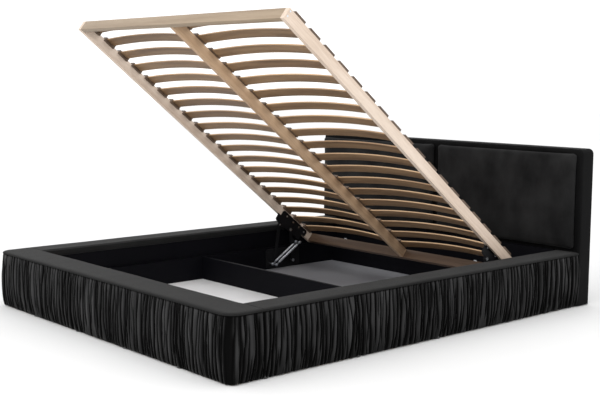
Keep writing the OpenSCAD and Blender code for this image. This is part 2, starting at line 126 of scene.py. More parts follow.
# ---------------------------------------------------------------- materials
class Finish:
    """A node material with its Principled shader and short helpers."""

    def __init__(self, name, **sockets):
        self.material = bpy.data.materials.new(name)
        self.material.use_nodes = True
        self.tree = self.material.node_tree
        self.shader = self.tree.nodes["Principled BSDF"]
        for socket, value in sockets.items():
            self.shader.inputs[socket.replace("_", " ")].default_value = value
        self.coordinates = self.node("ShaderNodeTexCoord").outputs["Object"]

    def node(self, kind, **settings):
        made = self.tree.nodes.new(kind)
        for key, value in settings.items():
            setattr(made, key, value)
        return made

    def join(self, output, target):
        self.tree.links.new(output, target)

    def mapped(self, scale):
        """Object coordinates stretched by a scale for each axis."""
        mapping = self.node("ShaderNodeMapping")
        mapping.inputs["Scale"].default_value = scale
        self.join(self.coordinates, mapping.inputs["Vector"])
        return mapping.outputs["Vector"]

    def noise(self, scale, stretch=(1, 1, 1), detail=3, roughness=0.5):
        made = self.node("ShaderNodeTexNoise")
        made.inputs["Scale"].default_value = scale
        made.inputs["Detail"].default_value = detail
        made.inputs["Roughness"].default_value = roughness
        self.join(self.mapped(stretch), made.inputs["Vector"])
        return made.outputs["Fac"]

    def ramp(self, value, stops):
        made = self.node("ShaderNodeValToRGB")
        elements = made.color_ramp.elements
        while len(elements) < len(stops):
            elements.new(0.5)
        for element, (place, colour) in zip(elements, stops):
            element.position = place
            element.color = (*colour, 1)
        self.join(value, made.inputs["Fac"])
        return made.outputs["Color"]

    def mix(self, factor, first, second, mode="MIX"):
        made = self.node("ShaderNodeMix", data_type="RGBA", blend_type=mode)
        for socket, value in (("Factor", factor), ("A", first), ("B", second)):
            places = [s for s in made.inputs if s.name == socket and s.enabled]
            if isinstance(value, (int, float)):
                places[0].default_value = value
            elif isinstance(value, tuple):
                places[0].default_value = (*value, 1)
            else:
                self.join(value, places[0])
        return [s for s in made.outputs if s.enabled][0]

    def colour(self, output):
        self.join(output, self.shader.inputs["Base Color"])

    def rough(self, value, low, high):
        made = self.node("ShaderNodeMapRange")
        made.inputs["To Min"].default_value = low
        made.inputs["To Max"].default_value = high
        self.join(value, made.inputs["Value"])
        self.join(made.outputs["Result"], self.shader.inputs["Roughness"])

    def bump(self, heights):
        """Bumps from (height output, distance in metres) pairs, laid over each other."""
        normal = None
        for height, distance in heights:
            made = self.node("ShaderNodeBump")
            made.inputs["Distance"].default_value = distance
            made.inputs["Strength"].default_value = 1
            self.join(height, made.inputs["Height"])
            if normal:
                self.join(normal, made.inputs["Normal"])
            normal = made.outputs["Normal"]
        self.join(normal, self.shader.inputs["Normal"])


def floor_material():
    finish = Finish("floor_paper", Roughness=0.9)
    finish.colour(finish.ramp(finish.noise(1.5), [(0.3, (0.775, 0.775, 0.775)),
                                                 (0.7, (0.79, 0.79, 0.79))]))
    return finish.material


def velvet(name, dark, light, sheen, crush, folded=False):
    """Short-pile velvet: patches of tone, and a fine pile grain.

    Folded velvet is streaked along its gathers; a point attribute paints shade in its valleys,
    seam and hem, and a highlight on its crests.
    """
    finish = Finish(name, Roughness=0.82, Sheen_Weight=sheen, Sheen_Roughness=0.4)
    finish.shader.inputs["Specular IOR Level"].default_value = 0.06
    patches = finish.noise(5.5, crush, detail=4, roughness=0.55)
    tone = finish.ramp(patches, [(0.34, dark), (0.66, light)])
    pile = finish.noise(900, detail=2)
    tone = finish.mix(0.3, tone, finish.ramp(pile, [(0.3, (0.3, 0.3, 0.3)),
                                                    (0.7, (1, 1, 1))]), "MULTIPLY")
    if folded:
        strips = finish.noise(26, (1, 1, 0.1), detail=2)
        strips = finish.ramp(strips, [(0.34, (0.4, 0.4, 0.4)), (0.66, (1.25, 1.25, 1.25))])
        tone = finish.mix(1.0, tone, strips, "MULTIPLY")
        # Painted shade and highlight: the attribute lifts fold crests and darkens valleys, the
        # seam line and the hem in the base colour.
        painted_shade = finish.node("ShaderNodeAttribute", attribute_name="painted_shade")
        shade = finish.ramp(painted_shade.outputs["Fac"], [(0.06, (2.1, 2.1, 2.1)),
                                                 (0.28, (0.85, 0.85, 0.85)),
                                                 (0.5, (0.06, 0.06, 0.06)),
                                                 (0.8, (0.01, 0.01, 0.01))])
        tone = finish.mix(1.0, tone, shade, "MULTIPLY")
    finish.colour(tone)
    finish.rough(patches, 0.72, 0.9)
    finish.bump([(patches, 0.0006), (pile, 0.00025)])
    return finish.material


def painted_board(name, dark, light, roughness, specular):
    """Board with a matt melamine face and a faint pressed grain."""
    finish = Finish(name)
    finish.shader.inputs["Specular IOR Level"].default_value = specular
    cloud = finish.noise(3, detail=4)
    grain = finish.noise(140, (1, 0.15, 1), detail=3)
    finish.colour(finish.ramp(cloud, [(0.35, dark), (0.65, light)]))
    finish.rough(cloud, *roughness)
    finish.bump([(grain, 0.00008)])
    return finish.material


def chipboard():
    finish = Finish("raw_chipboard", Roughness=0.85)
    flakes = finish.node("ShaderNodeTexVoronoi")
    flakes.inputs["Scale"].default_value = 260
    finish.join(finish.mapped((1, 1, 1)), flakes.inputs["Vector"])
    tone = finish.noise(6)
    base = finish.ramp(flakes.outputs["Distance"], [(0.1, (0.5, 0.36, 0.21)),
                                                   (0.7, (0.72, 0.57, 0.38))])
    finish.colour(finish.mix(tone, base, (0.6, 0.45, 0.28)))
    finish.bump([(flakes.outputs["Distance"], 0.0003)])
    return finish.material


def wood(name, dark, light, grain_axis, slats=False):
    """Planed wood with grain along one axis and pores. Slats add a tone each, and plies."""
    finish = Finish(name, Roughness=0.5)
    finish.shader.inputs["Specular IOR Level"].default_value = 0.4
    along = [1, 1, 1]
    along[grain_axis] = 0.035
    rings = finish.noise(34, tuple(along), detail=5, roughness=0.6)
    pores = finish.noise(420, tuple(along), detail=2)
    cloud = finish.noise(2.6, detail=2)
    colour = finish.ramp(rings, [(0.32, dark), (0.62, light)])
    colour = finish.mix(0.25, colour, finish.ramp(pores, [(0.35, (0.55, 0.5, 0.45)),
                                                         (0.6, (1, 1, 1))]), "MULTIPLY")
    colour = finish.mix(0.3, colour, finish.ramp(cloud, [(0.3, (0.8, 0.77, 0.72)),
                                                        (0.7, (1, 1, 1))]), "MULTIPLY")
    if slats:
        tone = finish.node("ShaderNodeAttribute", attribute_name="tone")
        shade = finish.ramp(tone.outputs["Fac"], [(0, (0.72, 0.66, 0.58)),
                                                 (1, (1.05, 1.03, 1.0))])
        colour = finish.mix(1.0, colour, shade, "MULTIPLY")
        layer = finish.node("ShaderNodeAttribute", attribute_name="ply")
        wave = finish.node("ShaderNodeMath", operation="SINE")
        count = finish.node("ShaderNodeMath", operation="MULTIPLY")
        count.inputs[1].default_value = 2 * math.pi * SLAT_PLIES
        finish.join(layer.outputs["Fac"], count.inputs[0])
        finish.join(count.outputs[0], wave.inputs[0])
        lines = finish.ramp(wave.outputs[0], [(0.0, (0.74, 0.68, 0.6)), (0.55, (1, 1, 1))])
        colour = finish.mix(0.8, colour, lines, "MULTIPLY")
        edge = finish.ramp(layer.outputs["Fac"], [(0.02, (1, 1, 1)), (0.2, (2.1, 2.2, 2.3)),
                                                 (0.8, (2.1, 2.2, 2.3)), (0.98, (1, 1, 1))])
        colour = finish.mix(1.0, colour, edge, "MULTIPLY")
    finish.colour(colour)
    finish.rough(rings, 0.42, 0.6)
    finish.bump([(rings, 0.00025), (pores, 0.0001)])
    return finish.material


def powder_coat():
    finish = Finish("black_powder_coat")
    finish.shader.inputs["Specular IOR Level"].default_value = 0.2
    speckle = finish.noise(700, detail=2)
    finish.colour(finish.ramp(finish.noise(9), [(0.3, (0.003, 0.003, 0.0038)),
                                               (0.7, (0.006, 0.006, 0.007))]))
    finish.rough(speckle, 0.38, 0.52)
    finish.bump([(speckle, 0.0001)])
    return finish.material


def zinc():
    finish = Finish("bright_zinc", Metallic=1.0)
    brushed = finish.noise(240, (1, 0.06, 1), detail=3)
    finish.colour(finish.ramp(finish.noise(30), [(0.3, (0.6, 0.62, 0.66)),
                                                (0.7, (0.78, 0.8, 0.83))]))
    finish.rough(brushed, 0.2, 0.38)
    finish.bump([(brushed, 0.00004)])
    return finish.material


def moulded_plastic():
    finish = Finish("brown_cap_plastic")
    grain = finish.noise(500, detail=2)
    finish.colour(finish.ramp(finish.noise(16), [(0.3, (0.075, 0.045, 0.028)),
                                                (0.7, (0.12, 0.078, 0.05))]))
    finish.rough(grain, 0.42, 0.6)
    finish.bump([(grain, 0.00008)])
    return finish.material


def felt():
    finish = Finish("black_felt", Roughness=0.95, Sheen_Weight=0.3)
    fibres = finish.noise(800, detail=4)
    finish.colour(finish.ramp(fibres, [(0.3, (0.02, 0.02, 0.02)),
                                      (0.7, (0.06, 0.06, 0.06))]))
    finish.bump([(fibres, 0.0005)])
    return finish.material


# ---------------------------------------------------------------- mesh helpers
def new_piece(name, verts, faces, material, body, replaced=(), place=None,
              sharp=35, ride=True):
    """A mesh piece on a body. place is its own frame; verts are given in that frame."""
    mesh = bpy.data.meshes.new(name)
    mesh.from_pydata([tuple(v) for v in verts], [], [tuple(f) for f in faces])
    mesh.validate()
    return finish_piece(name, mesh, material, body, replaced, place, sharp, ride)


def finish_piece(name, mesh, material, body, replaced=(), place=None, sharp=35,
                 ride=True):
    work = bmesh.new()
    work.from_mesh(mesh)
    bmesh.ops.recalc_face_normals(work, faces=work.faces)
    limit = math.radians(sharp)
    for face in work.faces:
        face.smooth = True
    for edge in work.edges:
        edge.smooth = edge.calc_face_angle(0) < limit
    work.to_mesh(mesh)
    work.free()
    piece = bpy.data.objects.new(name, mesh)
    piece.data.materials.clear()
    piece.data.materials.append(material)
    bpy.context.scene.collection.objects.link(piece)
    if place:
        piece.matrix_world = place
    if ride:
        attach(piece, body)
    if replaced:
        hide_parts(*replaced)
    return piece


def grid_faces(rows, columns, wrap_columns=False, start=0):
    """Quads of a grid of points stored row by row."""
    faces = []
    for i in range(rows - 1):
        for j in range(columns if wrap_columns else columns - 1):
            a, b = i * columns, (i + 1) * columns
            k = (j + 1) % columns
            faces.append((start + a + j, start + b + j, start + b + k, start + a + k))
    return faces


def ring_ends(rows, ring, start=0):
    """The two end faces of a tube whose rings are stored row by row."""
    last = start + (rows - 1) * ring
    return [tuple(range(start, start + ring)), tuple(reversed(range(last, last + ring)))]


def smooth_noise(x, y, size_x, size_y, seed):
    """Value noise between -1 and 1 on two arrays of coordinates in metres."""
    table = np.random.default_rng(seed).uniform(-1, 1, (NOISE_CELLS, NOISE_CELLS))
    u, v = np.asarray(x) / size_x, np.asarray(y) / size_y
    i, j = np.floor(u).astype(int), np.floor(v).astype(int)
    s, t = u - i, v - j
    s, t = s * s * (3 - 2 * s), t * t * (3 - 2 * t)
    i1, j1 = (i + 1) % NOISE_CELLS, (j + 1) % NOISE_CELLS
    i, j = i % NOISE_CELLS, j % NOISE_CELLS
    top = table[i, j] * (1 - s) + table[i1, j] * s
    low = table[i, j1] * (1 - s) + table[i1, j1] * s
    return top * (1 - t) + low * t


def roll_off(distance, radius, width):
    """How far a rounded edge falls below its face at a distance from the edge."""
    inside = np.clip(1 - np.asarray(distance, float) / width, 0, 1)
    return radius * (1 - np.sqrt(1 - inside ** 2))


def edge_stations(low, high, step, fine=0.022, fine_steps=8):
    """Positions from low to high, closer together near both ends."""
    near = fine * (1 - np.cos(np.linspace(0, math.pi / 2, fine_steps + 1)))
    middle = np.linspace(low + fine, high - fine,
                         max(2, int(round((high - low - 2 * fine) / step)) + 1))
    return np.concatenate([low + near[:-1], middle, high - near[:-1][::-1]])


def apply_modifiers(piece):
    """Works the piece's modifiers into its mesh."""
    bpy.context.view_layer.update()
    shape = piece.evaluated_get(bpy.context.evaluated_depsgraph_get())
    mesh = bpy.data.meshes.new_from_object(shape)
    piece.modifiers.clear()
    old, piece.data = piece.data, mesh
    bpy.data.meshes.remove(old)


def eased(node, material, body, width, place=None):
    """A CAD part's own shape with its sharp edges eased, as the real part's are."""
    source = frame["nodes"][node]
    mesh = source.data.copy()
    mesh.transform((place or Matrix.Identity(4)).inverted())
    work = bmesh.new()
    work.from_mesh(mesh)
    bmesh.ops.remove_doubles(work, verts=work.verts, dist=1e-6)
    bmesh.ops.dissolve_limit(work, angle_limit=math.radians(0.5), verts=work.verts,
                             edges=work.edges)
    edges = [e for e in work.edges if e.calc_face_angle(0) > math.radians(40)]
    bmesh.ops.bevel(work, geom=edges, offset=width, segments=2, profile=0.6,
                    affect="EDGES", clamp_overlap=True)
    bmesh.ops.triangulate(work, faces=[f for f in work.faces if len(f.verts) > 4])
    work.to_mesh(mesh)
    work.free()
    return finish_piece(node + "_eased", mesh, material, body, [node], place)


# ---------------------------------------------------------------- places from the frame
LIFT_ANGLE = math.radians(38.3)
RAIL_DEPTH = 52 * MM


def slat_frame_place():
    """The raised slat frame's own frame: y falls from its head end, z rises."""
    low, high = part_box("frame_rail_right")
    head_y = high.y - RAIL_DEPTH * math.sin(LIFT_ANGLE)
    return Matrix.Translation((0, head_y, low.z)) @ Matrix.Rotation(-LIFT_ANGLE, 4, "X")


TILT = slat_frame_place()
SIDE_LOW, SIDE_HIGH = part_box("side_top_pad_right")
FOOT_LOW, FOOT_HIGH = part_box("foot_top_pad")
SHELL_LOW, SHELL_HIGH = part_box("headboard_shell")
OPENING_X = SIDE_LOW.x
BAND_X = SIDE_HIGH.x
BAND_TOP = SIDE_HIGH.z
INNER_FOOT_Y = FOOT_HIGH.y
BAND_FOOT_Y = FOOT_LOW.y
SHELL_FACE_Y = SHELL_LOW.y
CORNER_R = 60 * MM
SLAT_PLIES = 5


# ---------------------------------------------------------------- gathered covers
COVER_TOP = BAND_TOP - 8 * MM
COVER_BOTTOM = 4 * MM
COVER_INSET = 4 * MM
COVER_BULGE = 15 * MM
COVER_STEP = 2.2 * MM
COVER_ROWS = 64
COVER_TUCK = 7 * MM
FOLD_DEPTH = 13 * MM
CORNER_FILL = 12 * MM
# How much painted shade darkens the cover's colour under the seam and towards the hem, and
# where the seam line starts.
SEAM_SHADE = 0.8
HEM_SHADE = 0.4
SEAM_FROM = 0.97
SEAM_BLEND = 0.02
COVER_FULLNESS = 0.48
COVER_PUFF = 2.2 * MM
COVER_BACK = -18 * MM
CREASE_FADE = 0.22
CREASE_WAVE = 0.8 * MM
CREASES_FROM_TOP = 0.62
CORNER_CREASE = (24 * MM, 10 * MM)
SEAM_CREASE = (18 * MM, 4 * MM)


class WallPath:
    """The line round the bed's outside: right side, foot, then left side."""

    def __init__(self):
        self.straight = SHELL_FACE_Y - (BAND_FOOT_Y + CORNER_R)
        self.arc = CORNER_R * math.pi / 2
        self.foot = 2 * (BAND_X - CORNER_R)
        self.length = 2 * (self.straight + self.arc) + self.foot

    def at(self, s):
        """Points and outward directions in plan at distances s along the line."""
        s = np.asarray(s, float)
        half = s > self.length / 2
        t = np.where(half, self.length - s, s)
        y = SHELL_FACE_Y - t
        x = np.full_like(t, BAND_X)
        nx, ny = np.ones_like(t), np.zeros_like(t)
        turn = np.clip((t - self.straight) / self.arc, 0, 1) * math.pi / 2
        on_arc = t > self.straight
        nx = np.where(on_arc, np.cos(turn), nx)
        ny = np.where(on_arc, -np.sin(turn), ny)
        cx, cy = BAND_X - CORNER_R, BAND_FOOT_Y + CORNER_R
        x = np.where(on_arc, cx + CORNER_R * np.cos(turn), x)
        y = np.where(on_arc, cy - CORNER_R * np.sin(turn), y)
        past = np.clip(t - self.straight - self.arc, 0, None)
        x = x - past
        flip = np.where(half, -1, 1)
        return x * flip, y, nx * flip, ny


def creases(length, rng, spacing, depth, width, reach, wander):
    """Random creases down a gathered cloth.

    Each is (place, depth, width, low end, high end, lean, curl, steeper side).
    """
    made = []
    s = rng.uniform(0, spacing[0])
    while s < length:
        span = rng.uniform(*reach)
        hung_from_top = rng.random() < CREASES_FROM_TOP
        low, high = (1 - span, 1.15) if hung_from_top else (-0.15, span)
        made.append((s, rng.uniform(*depth), rng.uniform(*width), low, high,
                     rng.normal(0, wander), rng.normal(0, wander), rng.random()))
        s += rng.uniform(*spacing)
    return made


def pleat_field(s, t, path, seed):
    """Depth below the fullest cloth at distances s (row) and heights t from 0 to 1."""
    length = path.length
    rng = np.random.default_rng(seed)
    corner = path.straight + path.arc * 0.55
    seam = SHELL_FACE_Y - INNER_FOOT_Y
    fixed = [(place, depth, width, -1, 3, 0, 0, 0.5)
             for near, (depth, width) in ((corner, CORNER_CREASE), (seam, SEAM_CREASE))
             for place in (near, length - near)]
    # folds down the whole height, shorter folds, puckers, and the corners and seams
    layers = [
        (creases(length, rng, (11 * MM, 30 * MM), (8 * MM, 20 * MM),
                 (2.4 * MM, 4.4 * MM), (0.8, 1.3), 5 * MM), 1.3),
        (creases(length, rng, (8 * MM, 22 * MM), (3 * MM, 9 * MM),
                 (1.9 * MM, 3.0 * MM), (0.4, 1.0), 5 * MM), 1.3),
        (creases(length, rng, (8 * MM, 22 * MM), (1 * MM, 3.4 * MM),
                 (1.5 * MM, 2.3 * MM), (0.15, 0.5), 2.4 * MM), 1.2),
        (fixed, 1.6),
    ]
    field = np.zeros((len(s), len(t)))
    step = s[1] - s[0]
    for layer, power in layers:
        for centre, depth, width, low, high, lean, curl, side in layer:
            wave = CREASE_WAVE * np.sin(2 * math.pi * (2.2 * t + side))
            middle = centre + lean * (t - 0.5) * 2 + curl * np.sin(math.pi * t) + wave
            fade = (np.clip((t - low) / CREASE_FADE, 0, 1)
                    * np.clip((high - t) / CREASE_FADE, 0, 1))
            fade = fade * fade * (3 - 2 * fade)
            reach = 4.5 * width + abs(lean) + abs(curl)
            first = max(0, int((centre - reach - s[0]) / step))
            last = min(len(s), int((centre + reach - s[0]) / step) + 2)
            if last <= first or not fade.any():
                continue
            u = (s[first:last, None] - middle[None, :]) / width
            steep = np.where(u < 0, 0.65 + 0.7 * side, 1.35 - 0.7 * side)
            field[first:last] += depth * fade * np.exp(-np.abs(u * steep) ** power)
    return field


def cover_shape(path, s, t):
    """Outward distance of the gathered cloth from the wall line, and how much shade to paint
    into its colour.
    """
    full = COVER_BULGE * (4 * t * (1 - t)) ** COVER_FULLNESS
    near_seam = np.clip(np.minimum(t, 1 - t) / 0.12, 0, 1) ** 0.7
    puff = COVER_PUFF * smooth_noise(s[:, None], t[None, :] * 0.26, 0.05, 0.09, SEED + 3)
    folds = pleat_field(s, t, path, SEED)
    share = np.tanh(folds / FOLD_DEPTH)
    out = (full[None, :] + puff * near_seam[None, :]
           - FOLD_DEPTH * share * (0.4 + 0.6 * near_seam[None, :])
           - COVER_INSET - (COVER_TUCK * (1 - t) ** 4)[None, :])
    turn = np.clip((np.minimum(s, path.length - s) - path.straight) / path.arc, 0, 1)
    corner = CORNER_FILL * np.sin(math.pi * turn)[:, None] ** 2 * (1 - t)[None, :] ** 0.8
    # Painted shade: a dark line just under the band's seam and darkening towards the hem, added
    # to the fold depth for the colour only.
    seam = np.clip((t - SEAM_FROM) / SEAM_BLEND, 0, 1)
    painted_seam_hem_shade = SEAM_SHADE * seam + HEM_SHADE * (1 - t) ** 3
    return out + corner, np.minimum(share + painted_seam_hem_shade[None, :], 1)


def gathered_cover(name, start, end, replaced):
    path = WallPath()
    count = int((end - start) / COVER_STEP)
    s = np.linspace(start, end, count)
    t = np.linspace(0, 1, COVER_ROWS)
    out, share = cover_shape(path, s, t)
    x, y, nx, ny = path.at(s)
    z = COVER_BOTTOM + (COVER_TOP - COVER_BOTTOM) * t
    out = np.concatenate([out, np.full((count, 2), COVER_BACK)], axis=1)
    height = np.concatenate([z, [COVER_TOP - 1 * MM, COVER_BOTTOM + 9 * MM]])
    points = np.stack([x[:, None] + nx[:, None] * out, y[:, None] + ny[:, None] * out,
                       np.repeat(height[None, :], count, 0)], axis=2)
    ring = COVER_ROWS + 2
    faces = grid_faces(count, ring, wrap_columns=True) + ring_ends(count, ring)
    piece = new_piece(name, points.reshape(-1, 3), faces, GATHERED, "base",
                      replaced, sharp=80)
    # The painted shade amount per point, read by the gathered velvet's colour.
    painted_shade = piece.data.attributes.new("painted_shade", "FLOAT", "POINT")
    painted_shade.data.foreach_set("value", np.pad(share, ((0, 0), (0, 2))).ravel())


def make_covers():
    path = WallPath()
    side = SHELL_FACE_Y - INNER_FOOT_Y
    gathered_cover("gathered_cover_right", 0, side, ["side_cover_right"])
    gathered_cover("gathered_cover_foot", side, path.length - side, ["foot_cover"])
    gathered_cover("gathered_cover_left", path.length - side, path.length,
                   ["side_cover_left"])


# ---------------------------------------------------------------- smooth bands
BAND_OVERHANG = 0.5 * MM
BAND_ROLL = 6 * MM
BAND_ROLL_WIDTH = 20 * MM
SEAM_ROLL = 2.6 * MM
BAND_UNDERSIDE = BAND_TOP - 10 * MM
BAND_STEP_ACROSS = 9 * MM
BAND_STEP_ALONG = 14 * MM
BAND_GAP = 0.2 * MM
FACING_TOP = BAND_TOP - 5 * MM
FACING_LOW = BAND_TOP - 36 * MM
FACING_THICK = 5 * MM
FACING_IN = 1.6 * MM
FACING_END_Y = SHELL_FACE_Y - 26 * MM


def band_surface(x, y, edges):
    """Height of a padded band: a flat top, a slight swell, and a roll along each edge."""
    z = np.full(np.shape(x), BAND_TOP)
    for distance, radius, width in edges:
        z = z - roll_off(distance, radius, width)
    swell = 0.9 * MM * smooth_noise(x, y, 0.22, 0.31, SEED + 11)
    fine = 0.35 * MM * smooth_noise(x, y, 0.05, 0.09, SEED + 12)
    return z + (swell + fine) * np.clip((z - BAND_TOP + 3 * MM) / (3 * MM), 0, 1)


def band_piece(name, x, y, z, replaced):
    """Closes a grid of top points down to a flat underside."""
    rows, columns = x.shape
    top = np.stack([x, y, z], axis=2).reshape(-1, 3)
    low = top.copy()
    low[:, 2] = BAND_UNDERSIDE
    under = rows * columns
    faces = grid_faces(rows, columns)
    faces += [tuple(i + under for i in reversed(f)) for f in faces]
    rim = (list(range(columns)) + [i * columns + columns - 1 for i in range(1, rows)]
           + [(rows - 1) * columns + j for j in range(columns - 2, -1, -1)]
           + [i * columns for i in range(rows - 2, 0, -1)])
    for a, b in zip(rim, rim[1:] + rim[:1]):
        faces.append((a, b, b + under, a + under))
    piece = new_piece(name, np.concatenate([top, low]), faces, BAND, "base",
                      replaced, sharp=60)


def side_band(side):
    x = edge_stations(OPENING_X, BAND_X + BAND_OVERHANG, BAND_STEP_ACROSS)
    y = edge_stations(INNER_FOOT_Y + BAND_GAP, SHELL_FACE_Y - 0.5 * MM, BAND_STEP_ALONG)
    x, y = np.meshgrid(x, y, indexing="ij")
    edges = [(x - OPENING_X, BAND_ROLL, BAND_ROLL_WIDTH),
             (BAND_X + BAND_OVERHANG - x, BAND_ROLL, BAND_ROLL_WIDTH),
             (y - INNER_FOOT_Y - BAND_GAP, SEAM_ROLL, SEAM_ROLL),
             (SHELL_FACE_Y - y, SEAM_ROLL, SEAM_ROLL)]
    z = band_surface(x * side, y, edges)
    name = "right" if side > 0 else "left"
    band_piece("band_" + name, x * side, y, z, ["side_top_pad_" + name])


def foot_band():
    half = BAND_X + BAND_OVERHANG
    radius = CORNER_R + BAND_OVERHANG
    arc_steps = 10
    bend = half - radius * np.cos(np.linspace(0, math.pi / 2, arc_steps + 1))
    ends = half - (bend - (half - radius))[::-1]
    middle = edge_stations(-half + radius, half - radius, BAND_STEP_ALONG)[1:-1]
    xs = np.concatenate([-ends[::-1], middle, ends])
    xs = np.unique(np.round(xs, 7))
    into = np.clip(np.abs(xs) - (half - radius), 0, radius)
    foot = BAND_FOOT_Y - BAND_OVERHANG + radius - np.sqrt(radius ** 2 - into ** 2)
    v = edge_stations(0, 1, 0.06, fine=0.06)
    x = np.repeat(xs[:, None], len(v), 1)
    y = foot[:, None] + (INNER_FOOT_Y - foot[:, None]) * v[None, :]
    beyond_x = np.clip(np.abs(x) - (half - radius), 0, None)
    below_y = np.clip(BAND_FOOT_Y - BAND_OVERHANG + radius - y, 0, None)
    rounded = radius - np.hypot(beyond_x, below_y)
    outline = np.where((beyond_x > 0) & (below_y > 0), rounded,
                       np.minimum(half - np.abs(x), y - BAND_FOOT_Y + BAND_OVERHANG))
    inner = np.where(np.abs(x) < OPENING_X, BAND_ROLL, SEAM_ROLL)
    z = band_surface(x, y, [(outline, BAND_ROLL, BAND_ROLL_WIDTH),
                            (INNER_FOOT_Y - y, inner, inner)])
    band_piece("band_foot", x, y, z, ["foot_top_pad"])


def make_bands():
    side_band(1)
    side_band(-1)
    foot_band()
    opening_facing()


def opening_facing():
    """The band's velvet turned down into the box along its three sides."""
    centre = (FACING_TOP + FACING_LOW) / 2
    reach = (FACING_TOP - FACING_LOW) / 2
    turn = np.linspace(math.pi / 2, -math.pi / 2, 9)
    section = [(-FACING_THICK * math.cos(a) ** 0.7, centre + reach * math.sin(a))
               for a in turn]
    section.append((FACING_IN, FACING_LOW + 3 * MM))
    section.append((FACING_IN, FACING_TOP))
    path = [((OPENING_X, FACING_END_Y), (1, 0)),
            ((OPENING_X, INNER_FOOT_Y), (1, -1)),
            ((-OPENING_X, INNER_FOOT_Y), (-1, -1)),
            ((-OPENING_X, FACING_END_Y), (-1, 0))]
    verts = [(p[0] + n[0] * o, p[1] + n[1] * o, z) for p, n in path for o, z in section]
    ring = len(section)
    faces = grid_faces(len(path), ring, wrap_columns=True) + ring_ends(len(path), ring)
    new_piece("opening_facing", verts, faces, BAND, "base", sharp=40)


# ---------------------------------------------------------------- headboard
SHELL_EDGE = 13 * MM
SHELL_CORNER = 28 * MM
SHELL_FOOT = 5 * MM
SHELL_BOW = 1.2 * MM
PIPING_INSET = 5 * MM
PIPING_BEHIND = 3.5 * MM
PIPING_R = 2.4 * MM
PIPING_SIDES = 8


def headboard_outline(inset):
    """Front view of the headboard from its left foot, over the top, to its right foot."""
    x, top = SHELL_HIGH.x - inset, SHELL_HIGH.z - inset
    r = SHELL_CORNER - inset
    left = [(-x, z) for z in np.linspace(SHELL_FOOT, top - r, 60)]
    turn = np.linspace(0, math.pi / 2, 12)[1:]
    corner = [(-x + r - r * math.cos(a), top - r + r * math.sin(a)) for a in turn]
    over = [(u, top) for u in np.linspace(-x + r, x - r, 90)[1:]]
    half = left + corner
    return np.array(half + over + [(-u, z) for u, z in reversed(half)][1:])


def shell_section():
    """The headboard's side from front to back, as (y, how far inside its outline)."""
    front, back = SHELL_LOW.y - 1.2 * MM, SHELL_HIGH.y
    turn = np.linspace(math.pi / 2, 0, 7)
    rim = [(SHELL_EDGE * (1 - math.sin(a)), SHELL_EDGE * (1 - math.cos(a))) for a in turn]
    middle = np.linspace(front + SHELL_EDGE, back - SHELL_EDGE, 9)[1:-1]
    section = [(front + step, inset) for step, inset in rim]
    section += [(y, 0.0) for y in middle]
    section += [(back - step, inset) for step, inset in reversed(rim)]
    return section


def make_shell():
    """The smooth velvet over the headboard's edges and back."""
    section = shell_section()
    lines = []
    for y, inset in section:
        outline = headboard_outline(inset)
        lines.append(np.stack([outline[:, 0], np.full(len(outline), y), outline[:, 1]],
                              axis=1))
    points = np.array(lines)
    x, y, z = points[:, :, 0], points[:, :, 1], points[:, :, 2]
    front, back = section[0][0], section[-1][0]
    bow = smooth_noise(z + x, y, 0.16, 0.07, SEED + 21)
    inward = np.clip(1 - np.abs(y - (front + back) / 2) / ((back - front) / 2), 0, 1)
    points[:, :, 0] += np.sign(x) * SHELL_BOW * bow * inward
    rows, columns = points.shape[:2]
    faces = grid_faces(rows, columns)
    for row in (0, rows - 1):
        line = [row * columns + j for j in range(columns)]
        pairs = [(line[j], line[columns - 1 - j]) for j in range(columns // 2)]
        for (a, b), (c, d) in zip(pairs, pairs[1:]):
            faces.append((a, c, d, b))
        if columns % 2:
            faces.append((pairs[-1][0], line[columns // 2], pairs[-1][1]))
    for i in range(rows - 1):
        a, b = i * columns, (i + 1) * columns
        faces.append((a, b, b + columns - 1, a + columns - 1))
    piece = new_piece("headboard_cover", points.reshape(-1, 3), faces, SHELL_VELVET_PAINTED_SHADE, "base",
                      ["headboard_shell"], sharp=60)
    shell_piping()


def shell_piping():
    """A corded seam round the headboard's front edge."""
    line = headboard_outline(PIPING_INSET)
    y = SHELL_LOW.y + PIPING_BEHIND
    tangent = np.gradient(line, axis=0)
    tangent /= np.linalg.norm(tangent, axis=1)[:, None]
    across = np.stack([-tangent[:, 1], tangent[:, 0]], axis=1)
    verts = []
    for p, n in zip(line, across):
        for k in range(PIPING_SIDES):
            a = 2 * math.pi * k / PIPING_SIDES
            out, back = PIPING_R * math.cos(a), PIPING_R * math.sin(a)
            verts.append((p[0] + n[0] * out, y + back, p[1] + n[1] * out))
    faces = grid_faces(len(line), PIPING_SIDES, wrap_columns=True)
    faces += ring_ends(len(line), PIPING_SIDES)
    new_piece("headboard_piping", verts, faces, SHELL_VELVET_PAINTED_SHADE, "base",
              sharp=80)


CUSHION_SHRINK = 7 * MM
CUSHION_CAP = 12 * MM
CUSHION_VOXEL = 9 * MM
CUSHION_ROUND = 11 * MM
CLOTH_FRAMES = 20
CLOTH_PRESSURE = 4


def cushion_block(low, high):
    """A rounded block, the cushion's cut size before it is filled."""
    work = bmesh.new()
    bmesh.ops.create_cube(work, size=1)
    size = high - low
    for vert in work.verts:
        vert.co = Vector(((low.x + high.x) / 2 + vert.co.x * size.x,
                          (low.y + high.y) / 2 + vert.co.y * size.y,
                          (low.z + high.z) / 2 + vert.co.z * size.z))
    bmesh.ops.bevel(work, geom=work.edges[:], offset=CUSHION_ROUND, segments=3, profile=0.5,
                    affect="EDGES")
    mesh = bpy.data.meshes.new("cushion_block")
    work.to_mesh(mesh)
    work.free()
    return mesh


